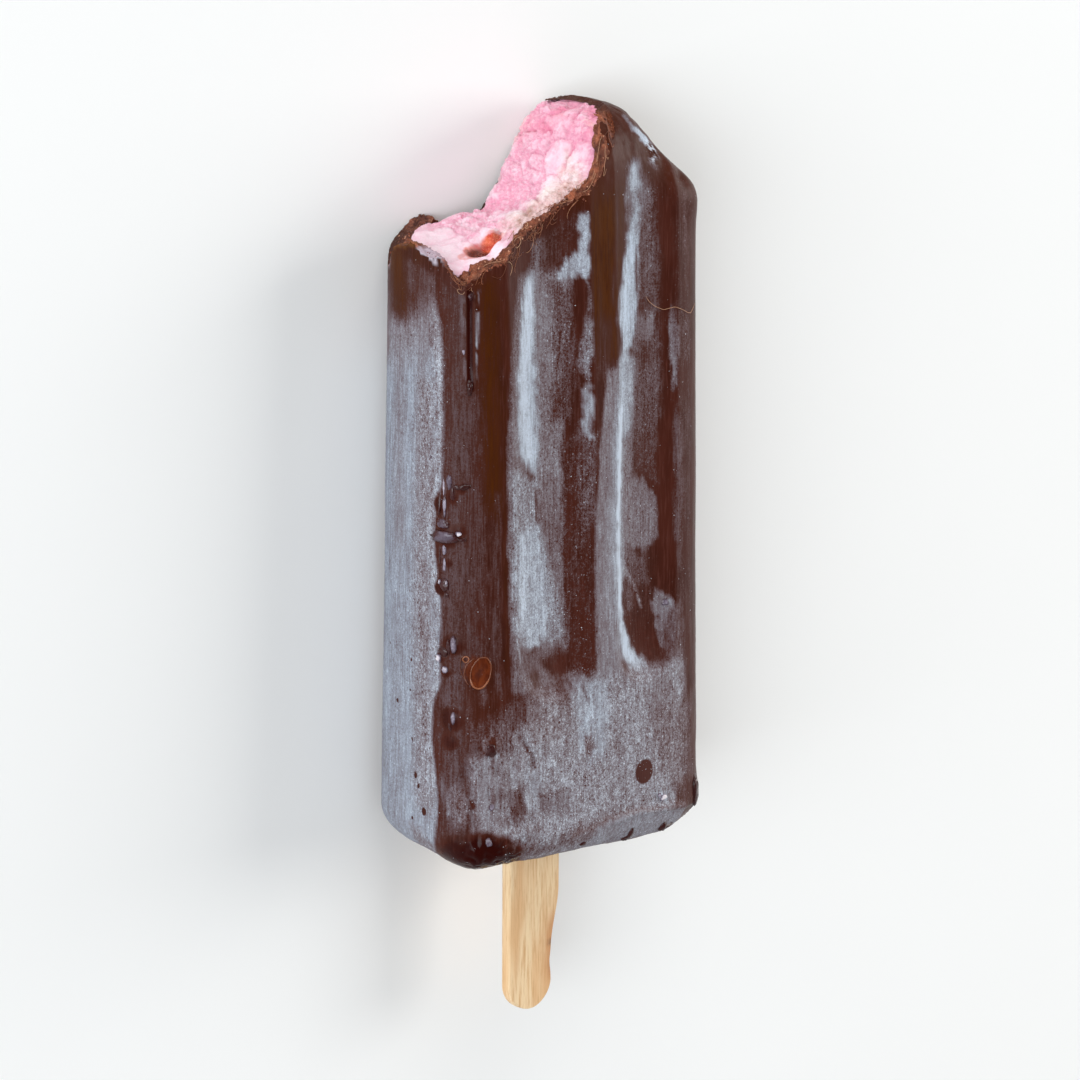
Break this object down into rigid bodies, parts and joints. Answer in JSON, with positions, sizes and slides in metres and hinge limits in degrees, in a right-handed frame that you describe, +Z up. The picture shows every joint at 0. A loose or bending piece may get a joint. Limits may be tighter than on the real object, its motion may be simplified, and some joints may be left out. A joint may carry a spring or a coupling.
{
  "type": "ice cream bar",
  "caption": "Fluted chocolate-coated ice cream bar on a flat wooden stick, lying on its back, bitten at the tip so that the pink filling shows.",
  "frame": {"origin": "middle of the footprint of the bar and its stick, on the surface the bar lies on", "axes": "+Y from the stick to the bitten tip, +Z up out of the bar's front face, +X to the right when the bar is seen from its front with the tip up"},
  "size_m": [0.0474, 0.1342, 0.0255],
  "materials": {
    "chocolate": "dark brown chocolate, glossy where bare and dulled by pale grey frost over most of its faces",
    "ice_cream": "pink ice cream, soft and lightly crumbly at the bite, paler where it melts",
    "stick_wood": "plain unvarnished light birch"
  },
  "bodies": {
    "root": {"chocolate_coating": "chocolate", "ice_cream_core": "ice_cream", "wooden_stick": "stick_wood"}
  },
  "joints": []
}
